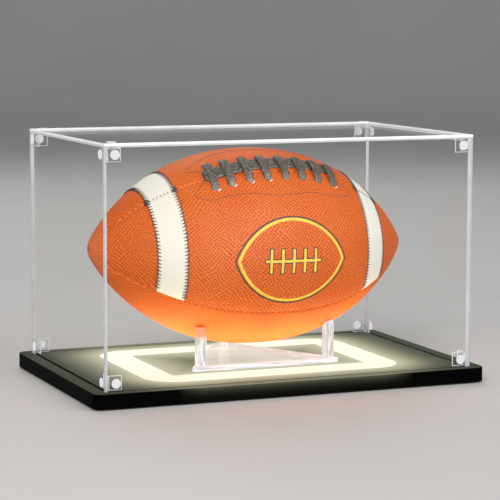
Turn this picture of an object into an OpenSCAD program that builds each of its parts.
// Lit display case for an American football, with its stand and the ball it holds.
// A clear riveted cover stands in a groove of a black base, and a warm light ring is set in the base.
// Frame: origin at the middle of the footprint, on the surface the feet stand on.
// +X runs along the case, +Y towards its back, +Z up.

/* [Base] */
// Length of the base
base_x = 346; // [338:1:360]
// Depth of the base
base_y = 220; // [216:1:240]
// Height of the base, without its feet
base_h = 12; // [12:0.5:15]
// Corner radius of the base
base_r = 8; // [6:1:12]
// Rounding of the base's top edge
base_edge = 1; // [0.5:0.1:1.5]
// Wall thickness of the base's top and sides
base_wall = 3; // [3:0.5:4]
// Height of the feet below the base
foot_gap = 1.5; // [1:0.25:3]
// Diameter of a foot
foot_d = 16; // [12:1:20]

/* [Light ring] */
// Outer length of the light ring
ring_x = 228; // [200:1:240]
// Outer depth of the light ring
ring_y = 162; // [150:1:164]
// Outer corner radius of the light ring
ring_r = 28; // [20:1:34]
// Length of the dark field inside the ring
ring_hole_x = 174; // [150:1:180]
// Depth of the dark field inside the ring
ring_hole_y = 104; // [90:1:110]
// Number of light chips along one long side
chips_x = 11; // [6:1:14]
// Number of light chips along one short side
chips_y = 6; // [4:1:8]

/* [Cover] */
// Length of the clear cover
case_x = 324; // [310:1:326]
// Depth of the clear cover
case_y = 204; // [196:1:206]
// Height of the clear cover above the base's top
case_h = 196; // [192:1:220]
// Thickness of the clear sheets
panel_t = 3; // [2:0.5:4]
// Depth of the groove that locates the cover
groove_depth = 1.5; // [1:0.25:1.5]
// Width of one leg of a corner connector
connector_s = 12; // [12:0.2:15]
// Wall thickness of a corner connector
connector_t = 1.5; // [1.2:0.1:2]
// Diameter of a rivet's head
rivet_head_d = 7.8; // [7:0.1:8.4]
// Height of a rivet's head
rivet_head_h = 0.7; // [0.6:0.1:1]
// Diameter of a rivet's shank
rivet_d = 4; // [3:0.1:4.5]

/* [Stand] */
// Thickness of the stand's plate
stand_t = 4.5; // [3:0.5:6]
// Width of the stand's plate at the front
stand_x = 133; // [130:1:150]
// Distance from the case's middle to the plate's front edge
stand_front = 45; // [45:1:60]
// Distance from the case's middle to the plate's rear edge
stand_rear = 62; // [58:1:70]
// Distance of a front post from the middle, along the case
post_at_x = 58; // [54:0.5:60]
// Distance of the front posts' front faces from the middle
post_front = 44.5; // [42:0.5:45]
// Width and depth of a post
post_w = 8; // [6:0.5:9]
// Height of the front posts above the base's top
post_h = 36.8; // [34:0.1:38]

/* [Football] */
// Length of the ball
ball_len = 289; // [280:1:291]
// Largest diameter of the ball
ball_d = 167; // [164:1:172]
// Height of the ball's middle above the base's top
ball_up = 98.8; // [97:0.1:102]
// Tilt of the ball's axis, right end down
ball_tilt = 1; // [0:0.5:1]
// Angle of the laced seam, forward of the top
seam_at = 36; // [20:1:45]
// Number of cross laces
lace_count = 8; // [6:1:8]
// Distance between cross laces
lace_step = 15.3; // [14:0.1:16]
// Distance from the ball's middle to a stripe's centre line
stripe_at = 92.5; // [85:0.5:93]
// Width of a stripe
stripe_w = 21; // [15:0.5:22]

/* [Hidden] */
$fn = 64;

// Heights, from the table up
base_top = foot_gap + base_h;
case_top = base_top + case_h;
panel_low = base_top - groove_depth;
// Running gap between the cover and its groove, each side
groove_gap = 0.3;
// Overshoot of a cut past the face that it opens
cut = 1;
// Gap between a low connector and the base
connector_gap = 0.3;
// A rivet sits in the middle of a connector's leg
rivet_in = panel_t + connector_s / 2;
rivet_zs = [base_top + connector_gap + connector_s / 2, case_top - rivet_in];
rivet_hole_d = rivet_d + 0.2;
rivet_flare = 0.5;
rivet_tail = 0.8;

// Bottom cover and its screws
cover_t = 2;
cover_gap = 0.2;
foot_sunk = 1;
boss_d = 8;
screw_d = 2.1;
screw_len = 7;
screw_head_d = 5;
screw_head_h = 1.4;
screw_gap = 0.3;
pilot_d = 2.2;
boss_x = [-150, -50, 50, 150];
boss_y = [-96, 96];
foot_x = base_x / 2 - 26;
foot_y = base_y / 2 - 26;

// Light trough, measured up from the underside of the base
trough_low = 3.5;
trough_floor = 5;
trough_wall = 2;
ledge = 1.5;
diffuser_t = 2.5;
fit_gap = 0.1;
strip_w = 10;
strip_t = 0.8;
strip_x = (ring_x + ring_hole_x) / 2;
strip_y = (ring_y + ring_hole_y) / 2;
strip_r = 12;
chip = [3.5, 2.8, 1.2];
// Bare strip between the last chip of a side and the strip's corner
chip_margin = [15, 10];

// Driver board behind the trough
board = [44, 15, 1.2];
board_y = 95.5;
board_low = 3.9;
board_top = board_low + board[2];
peg_x = 18;
peg_d = 1.8;
peg_foot_d = 5;
peg_tip = 0.9;
driver_chip = [5, 4, 1.6];
coil = [4.5, 4.5, 2];
capacitor = [1.6, 3.2, 1.2];
socket = [8.94, 7.3, 3.26];
socket_wall = 0.3;
socket_back = 1.2;
socket_tongue = [6.7, 0.7, 6.3];
socket_front = 108.5;
socket_z = board_top + socket[2] / 2;
// Clearance round the socket's mouth and round a lead, each side
plug_gap = 0.35;
lead_gap = 0.15;
lead_x = 12;
lead_d = 1.2;
lead_run = 21;
lead_z = trough_floor + strip_t + lead_d / 2;

// Rear post of the stand, and the plate's narrow end
rear_post_y = 50;
rear_post_h = 33;
plate_end_w = 17;
plate_cut = 1.5;

// The ball's outline: radius r at a distance x from its middle
ball_r = ball_d / 2;
ball_half = ball_len / 2;
outline_power = 2.2;
outline_bend = 0.83;
leather_t = 3.5;
bladder_gap = 0.4;
bladder_t = 1.2;
ball_gap = 0.3;
bladder_end = 2 * leather_t + 2;
// The laces and stripes sit a little to the right of the ball's middle
marks_x = 2.7;
lace_w = 7;
lace_t = 2.2;
lace_half_angle = 10.5;
// The laces' middle and the long strip's middle lie above the seam by these angles
lace_rise = 2;
lace_strip_rise = 5.5;
lace_strip_w = 12;
lace_strip_t = 1.6;
lace_strip_gap = 0.1;
stripe_t = 0.4;
lace_lift = 0.25;
skin_gap = 0.05;
valve_d = 7;
valve_gap = 0.1;
valve_hole_d = 1.8;
valve_deep = 9;
valve_sunk = 0.6;
valve_floor = 2;
// Steps of the outline; an odd number leaves a true cylinder round the ball's middle
steps = 25;

function radius_at(x, half, r) = r * pow(max(0, 1 - pow(abs(x) / half, outline_power)), outline_bend);
function ball_at(x) = radius_at(x, ball_half, ball_r);
function slope_at(x) = atan2(ball_at(x + 1) - ball_at(x - 1), 2);
// Outline points from the left tip to the right one, closer together towards the tips
function outline(half, r) = [
    for (i = [0:steps]) let (x = -half * cos(180 * i / steps)) [radius_at(x, half, r), x]
];
function reversed(list) = [for (i = [len(list) - 1:-1:0]) list[i]];
function lace_x(i) = marks_x + (i - (lace_count - 1) / 2) * lace_step;
// Section of a thin skin on the ball between its outline raised by low and by high, over the places xs
function skin(xs, low, high) = concat(
    [for (x = xs) [ball_at(x) + low, x]],
    [for (x = reversed(xs)) [ball_at(x) + high, x]]);

// ---------- shared shapes ----------

// Rectangle with round corners, centred
module rounded_rect(x, y, r) {
    square([x - 2 * r, y], center = true);
    square([x, y - 2 * r], center = true);
    for (sx = [-1, 1], sy = [-1, 1]) translate([sx * (x / 2 - r), sy * (y / 2 - r)]) circle(r);
}

// Half section of a plate's edge: rounded at the top by e, d deep from the face
module edge_section(d, h, e) {
    square([d, h - e]);
    square([d - e, h]);
    translate([d - e, h - e]) circle(e);
}

// Plate with round corners and a rounded top edge
module soft_plate(x, y, h, r, e) {
    in_x = x / 2 - r;
    in_y = y / 2 - r;
    linear_extrude(h) square([2 * in_x, 2 * in_y], center = true);
    for (sx = [-1, 1], sy = [-1, 1])
        translate([sx * in_x, sy * in_y, 0]) rotate_extrude() edge_section(r, h, e);
    for (s = [0, 1]) rotate([0, 0, 180 * s]) {
        translate([in_x, in_y, 0]) rotate([90, 0, 0]) linear_extrude(2 * in_y) edge_section(r, h, e);
        translate([-in_x, in_y, 0]) rotate([90, 0, 90]) linear_extrude(2 * in_x) edge_section(r, h, e);
    }
}

// The light ring's band, wider by grow on both of its sides
module ring_band(grow) {
    difference() {
        rounded_rect(ring_x + 2 * grow, ring_y + 2 * grow, ring_r + grow);
        square([ring_hole_x - 2 * grow, ring_hole_y - 2 * grow], center = true);
    }
}

// Oblong with round ends, w wide and h high
module oblong(w, h) {
    square([w - h, h], center = true);
    for (s = [-1, 1]) translate([s * (w - h) / 2, 0]) circle(h / 2);
}

module at_bosses() {
    for (x = boss_x, y = boss_y) translate([x, y, 0]) children();
}

// ---------- base ----------

module base_shell() {
    inner_x = base_x - 2 * base_wall;
    inner_y = base_y - 2 * base_wall;
    roof = base_h - base_wall;
    groove_in = panel_t + groove_gap;
    color("#141416") translate([0, 0, foot_gap]) difference() {
        union() {
            difference() {
                soft_plate(base_x, base_y, base_h, base_r, base_edge);
                translate([0, 0, -cut]) linear_extrude(roof + cut)
                    rounded_rect(inner_x, inner_y, base_r - base_wall);
            }
            translate([0, 0, trough_low]) linear_extrude(roof - trough_low + cut) ring_band(trough_wall);
            at_bosses() translate([0, 0, cover_t]) cylinder(h = roof - cover_t + cut, d = boss_d);
        }
        translate([0, 0, base_h - groove_depth]) linear_extrude(groove_depth + cut) difference() {
            square([case_x + 2 * groove_gap, case_y + 2 * groove_gap], center = true);
            square([case_x - 2 * groove_in, case_y - 2 * groove_in], center = true);
        }
        translate([0, 0, base_h - diffuser_t]) linear_extrude(diffuser_t + cut) ring_band(fit_gap);
        translate([0, 0, trough_floor]) linear_extrude(base_h) ring_band(-ledge);
        at_bosses() translate([0, 0, cover_t - cut]) cylinder(h = screw_len, d = pilot_d);
        translate([0, base_y / 2 - base_wall - cut, socket_z]) rotate([-90, 0, 0])
            linear_extrude(base_wall + 2 * cut) oblong(socket[0] + 2 * plug_gap, socket[2] + 2 * plug_gap);
        for (s = [-1, 1]) translate([s * lead_x, ring_y / 2 - ledge - cut, lead_z]) rotate([-90, 0, 0])
            cylinder(h = ledge + trough_wall + 2 * cut, d = lead_d + 2 * lead_gap);
    }
}

module bottom_cover() {
    gap = 2 * (base_wall + cover_gap);
    color("#202022") translate([0, 0, foot_gap]) {
        difference() {
            linear_extrude(cover_t) rounded_rect(base_x - gap, base_y - gap, base_r - base_wall);
            at_bosses() {
                translate([0, 0, -cut]) cylinder(h = cover_t + 2 * cut, d = screw_d + 2 * screw_gap);
                translate([0, 0, -screw_gap]) cylinder(h = screw_head_h + 2 * screw_gap,
                    d1 = screw_head_d + 3 * screw_gap, d2 = screw_d + 2 * screw_gap);
            }
            for (sx = [-1, 1], sy = [-1, 1]) translate([sx * foot_x, sy * foot_y, -cut])
                cylinder(h = foot_sunk + cut, d = foot_d + 2 * cover_gap);
        }
        for (s = [-1, 1]) translate([s * peg_x, board_y, cover_t / 2]) {
            cylinder(h = board_low - cover_t / 2, d = peg_foot_d);
            cylinder(h = board_top - cover_t / 2 + peg_tip, d = peg_d);
        }
    }
}

module cover_screws() {
    color("silver") translate([0, 0, foot_gap]) at_bosses() {
        cylinder(h = screw_head_h, d1 = screw_head_d, d2 = screw_d);
        cylinder(h = screw_len, d = screw_d);
    }
}

// Rubber disc stuck in a shallow recess of the bottom cover
module foot(sx, sy) {
    color("#2a2a2a") translate([sx * foot_x, sy * foot_y, 0]) rotate_extrude() {
        translate([0, 0.5]) square([foot_d / 2, foot_gap + foot_sunk - 0.5]);
        square([foot_d / 2 - 0.5, 1]);
        translate([foot_d / 2 - 0.5, 0.5]) circle(0.5);
    }
}

module light_diffuser() {
    color("#fff8e0") translate([0, 0, base_top - diffuser_t]) linear_extrude(diffuser_t) ring_band(0);
}

module light_strip() {
    color("#f4f4f0") translate([0, 0, foot_gap + trough_floor]) linear_extrude(strip_t) difference() {
        rounded_rect(strip_x + strip_w, strip_y + strip_w, strip_r);
        square([strip_x - strip_w, strip_y - strip_w], center = true);
    }
}

module light_chips() {
    gap_x = (strip_x - 2 * chip_margin[0]) / (chips_x - 1);
    gap_y = (strip_y - 2 * chip_margin[1]) / (chips_y - 1);
    color("#ffe070") translate([0, 0, foot_gap + trough_floor + strip_t + chip[2] / 2]) {
        for (i = [0:chips_x - 1], s = [-1, 1])
            translate([(i - (chips_x - 1) / 2) * gap_x, s * strip_y / 2, 0]) cube(chip, center = true);
        for (i = [0:chips_y - 1], s = [-1, 1])
            translate([s * strip_x / 2, (i - (chips_y - 1) / 2) * gap_y, 0]) cube(chip, center = true);
    }
}

module driver_board() {
    color("#1d6b3a") translate([0, board_y, foot_gap + board_low]) linear_extrude(board[2]) difference() {
        square([board[0], board[1]], center = true);
        for (s = [-1, 1]) translate([s * peg_x, 0]) circle(d = peg_d + 2 * fit_gap);
    }
}

module driver_chips() {
    color("#303034") translate([0, board_y, foot_gap + board_top]) {
        translate([-11.5, -4, 0]) cube(driver_chip);
        translate([-3.25, -5.75, 0]) cube(coil);
        for (x = [6.2, 9.2]) translate([x, -2.6, 0]) cube(capacitor);
    }
}

// USB-C style power receptacle: oblong shell with a tongue in its mouth
module power_socket() {
    color("#b9bcc0") translate([0, socket_front, foot_gap + socket_z]) rotate([90, 0, 0]) {
        difference() {
            linear_extrude(socket[1]) oblong(socket[0], socket[2]);
            translate([0, 0, -cut]) linear_extrude(socket[1] - socket_back + cut)
                oblong(socket[0] - 2 * socket_wall, socket[2] - 2 * socket_wall);
        }
        translate([0, 0, socket[1] - socket_tongue[2] / 2]) cube(socket_tongue, center = true);
    }
}

// Two leads from the driver board, through the trough's wall, to the light strip
module strip_leads() {
    start_y = (strip_y + strip_w) / 2 - 2;
    color("#c03028") for (s = [-1, 1]) translate([s * lead_x, start_y, foot_gap + lead_z]) {
        rotate([-90, 0, 0]) cylinder(h = lead_run, d = lead_d, $fn = 24);
        translate([0, lead_run, 0]) sphere(d = lead_d, $fn = 24);
        translate([0, lead_run, board_top - lead_z]) cylinder(h = lead_z - board_top, d = lead_d, $fn = 24);
    }
}

// ---------- stand ----------

module stand_plate() {
    half = stand_x / 2;
    tail = plate_end_w / 2;
    color("#dfe6ea", 0.5) translate([0, 0, base_top]) linear_extrude(stand_t) polygon([
        [-half + plate_cut, -stand_front], [half - plate_cut, -stand_front], [half, plate_cut - stand_front],
        [tail, stand_rear - plate_cut], [tail - plate_cut, stand_rear],
        [plate_cut - tail, stand_rear], [-tail, stand_rear - plate_cut], [-half, plate_cut - stand_front]
    ]);
}

// Square post bonded to the plate, its top h above the base and hollowed to the ball; y is its front face
module stand_post(x, y, h) {
    color("#dfe6ea", 0.5) difference() {
        translate([x - post_w / 2, y, base_top + stand_t]) cube([post_w, post_w, h - stand_t]);
        in_ball_place() rotate_extrude() polygon(outline(ball_half + ball_gap, ball_r + ball_gap));
    }
}

// ---------- cover ----------

module rivet_hole() {
    translate([0, 0, -cut]) cylinder(h = panel_t + connector_t + 2 * cut, d = rivet_hole_d);
}

// Upright sheet that stands in the groove, with its four rivet holes. Its outer face lies on y = 0 and it is
// thick towards +Y. inset is how far each of its ends stays inside the case's outer faces.
module upright_sheet(len, inset) {
    rivet_x = len / 2 + inset - rivet_in;
    difference() {
        translate([-len / 2, 0, panel_low]) cube([len, panel_t, case_top - panel_t - panel_low]);
        for (s = [-1, 1], z = rivet_zs) translate([s * rivet_x, 0, z]) rotate([-90, 0, 0]) rivet_hole();
    }
}

module long_panel(side) {
    color("#cfe4ee", 0.3) rotate([0, 0, side]) translate([0, -case_y / 2, 0]) upright_sheet(case_x, 0);
}

module end_panel(side) {
    color("#cfe4ee", 0.3) rotate([0, 0, side]) translate([0, -case_x / 2, 0])
        upright_sheet(case_y - 2 * panel_t, panel_t);
}

module at_top_rivets() {
    for (sx = [-1, 1], sy = [-1, 1])
        translate([sx * (case_x / 2 - rivet_in), sy * (case_y / 2 - rivet_in), case_top]) children();
}

module top_panel() {
    color("#cfe4ee", 0.3) difference() {
        translate([-case_x / 2, -case_y / 2, case_top - panel_t]) cube([case_x, case_y, panel_t]);
        at_top_rivets() translate([0, 0, -panel_t]) rivet_hole();
    }
}

// Square legs that meet in an inside corner at the origin: two upright ones, and a third that lies flat on top
module connector_body(with_flat_leg) {
    middle = connector_s / 2;
    room_top = with_flat_leg ? -connector_t : cut;
    room_low = -connector_s - cut;
    difference() {
        translate([0, 0, -connector_s]) cube(connector_s);
        translate([connector_t, connector_t, room_low]) cube([connector_s, connector_s, room_top - room_low]);
        translate([middle, 0, -middle]) rotate([-90, 0, 0]) rivet_hole();
        translate([0, middle, -middle]) rotate([0, 90, 0]) rivet_hole();
        if (with_flat_leg) translate([middle, middle, -connector_t]) rivet_hole();
    }
}

// sx and sy choose the corner; the low ones stand just clear of the base and have no flat leg
module connector(sx, sy, low) {
    color("#eef2f4", 0.6) translate([sx * (case_x / 2 - panel_t), sy * (case_y / 2 - panel_t), 0])
        mirror([sx > 0 ? 1 : 0, 0, 0]) mirror([0, sy > 0 ? 1 : 0, 0])
            translate([0, 0, low ? base_top + connector_gap : case_top - panel_t]) mirror([0, 0, low ? 1 : 0])
                connector_body(!low);
}

// Push rivet: flat head outside, shank through sheet and connector, flared end inside; head towards -Z
module rivet() {
    edge = rivet_head_h / 2;
    grip = panel_t + connector_t;
    rotate_extrude() {
        translate([0, -rivet_head_h]) square([rivet_head_d / 2 - edge, rivet_head_h]);
        translate([0, -edge]) square([rivet_head_d / 2, edge]);
        translate([rivet_head_d / 2 - edge, -edge]) circle(edge);
    }
    cylinder(h = grip + rivet_tail, d = rivet_d);
    translate([0, 0, grip]) cylinder(h = rivet_tail, d = rivet_d + 2 * rivet_flare);
}

module sheet_rivets(len, depth) {
    color("#f4f6f8", 0.8) for (s = [-1, 1], z = rivet_zs)
        translate([s * (len / 2 - rivet_in), -depth / 2, z]) rotate([-90, 0, 0]) rivet();
}

module top_rivets() {
    color("#f4f6f8", 0.8) at_top_rivets() mirror([0, 0, 1]) rivet();
}

// ---------- football ----------

// Puts a shape turned about Z into the ball's place, with its axis along the case
module in_ball_place() {
    translate([0, 0, base_top + ball_up]) rotate([0, 90 + ball_tilt, 0]) children();
}

// Turns from the straight-down direction to an angle forward of the ball's top
module forward_of_top(angle) {
    rotate([0, 0, 180 + angle]) children();
}

// Quarter of the leather shell that starts at the given angle forward of the top
module leather_quarter(from) {
    inside = outline(ball_half - 2 * leather_t, ball_r - leather_t);
    color("#c85a28") in_ball_place() difference() {
        forward_of_top(from) rotate_extrude(angle = 90)
            polygon(concat(outline(ball_half, ball_r), reversed(inside)));
        if (from == seam_at + 180) valve_place() valve_hole(2 * (leather_t + cut));
    }
}

// At the middle of the back quarter, on its outer face, with +Z out of the ball
module valve_place() {
    forward_of_top(seam_at + 225) translate([ball_r, 0, 0]) rotate([0, 90, 0]) children();
}

module valve_hole(h) {
    cylinder(h = h, d = valve_d + valve_gap, center = true);
}

module ball_bladder() {
    half = ball_half - bladder_end;
    r = ball_r - leather_t - bladder_gap;
    color("#333333") in_ball_place() difference() {
        rotate_extrude() polygon(outline(half, r));
        rotate_extrude() polygon(outline(half - 2 * bladder_t, r - bladder_t));
        valve_place() valve_hole(2 * valve_deep);
    }
}

module ball_valve() {
    color("#222222") in_ball_place() valve_place() translate([0, 0, -valve_deep]) difference() {
        cylinder(h = valve_deep - valve_sunk, d = valve_d);
        translate([0, 0, valve_floor]) cylinder(h = valve_deep, d = valve_hole_d);
    }
}

// Cross laces: short bands that follow the ball's curve across the laced seam
module ball_laces() {
    color("#4a4844") in_ball_place() for (i = [0:lace_count - 1]) let (x = lace_x(i))
        forward_of_top(seam_at - lace_rise - lace_half_angle) rotate_extrude(angle = 2 * lace_half_angle)
            translate([ball_at(x) + lace_strip_t + lace_lift, x]) rotate([0, 0, -slope_at(x)])
                translate([0, -lace_w / 2]) square([lace_t, lace_w]);
}

// Long strip under the cross laces, beside the seam
module ball_lace_strip() {
    half_angle = asin(lace_strip_w / ball_d);
    pieces = 14;
    reach = (lace_count - 1) / 2 * lace_step + 2;
    xs = [for (i = [0:pieces]) marks_x + (2 * i / pieces - 1) * reach];
    color("#4a4844") in_ball_place() forward_of_top(seam_at - lace_strip_rise - half_angle)
        rotate_extrude(angle = 2 * half_angle) polygon(skin(xs, lace_strip_gap, lace_strip_t));
}

// White band round the two laced quarters
module ball_stripe(side) {
    pieces = 4;
    xs = [for (i = [0:pieces]) marks_x + side * stripe_at + (i / pieces - 0.5) * stripe_w];
    color("#fdf6e8") in_ball_place() forward_of_top(seam_at - 90) rotate_extrude(angle = 180)
        polygon(skin(xs, skin_gap, stripe_t));
}

base_shell();
bottom_cover();
cover_screws();
foot(-1, -1);  // foot_front_left
foot(1, -1);  // foot_front_right
foot(-1, 1);  // foot_back_left
foot(1, 1);  // foot_back_right
light_diffuser();
light_strip();
light_chips();
driver_board();
driver_chips();
power_socket();
strip_leads();
stand_plate();
stand_post(-post_at_x, -post_front, post_h);  // stand_post_left
stand_post(post_at_x, -post_front, post_h);  // stand_post_right
stand_post(0, rear_post_y, rear_post_h);  // stand_post_rear
long_panel(0);  // front_panel
long_panel(180);  // back_panel
end_panel(-90);  // left_panel
end_panel(90);  // right_panel
top_panel();
connector(-1, -1, false);  // connector_top_front_left
connector(1, -1, false);  // connector_top_front_right
connector(-1, 1, false);  // connector_top_back_left
connector(1, 1, false);  // connector_top_back_right
connector(-1, -1, true);  // connector_low_front_left
connector(1, -1, true);  // connector_low_front_right
connector(-1, 1, true);  // connector_low_back_left
connector(1, 1, true);  // connector_low_back_right
sheet_rivets(case_x, case_y);  // front_rivets
rotate([0, 0, 180]) sheet_rivets(case_x, case_y);  // back_rivets
rotate([0, 0, -90]) sheet_rivets(case_y, case_x);  // left_rivets
rotate([0, 0, 90]) sheet_rivets(case_y, case_x);  // right_rivets
top_rivets();
leather_quarter(seam_at);  // ball_panel_front
leather_quarter(seam_at - 90);  // ball_panel_top
leather_quarter(seam_at + 180);  // ball_panel_back
leather_quarter(seam_at + 90);  // ball_panel_bottom
ball_bladder();
ball_valve();
ball_laces();
ball_lace_strip();
ball_stripe(-1);  // ball_stripe_left
ball_stripe(1);  // ball_stripe_right
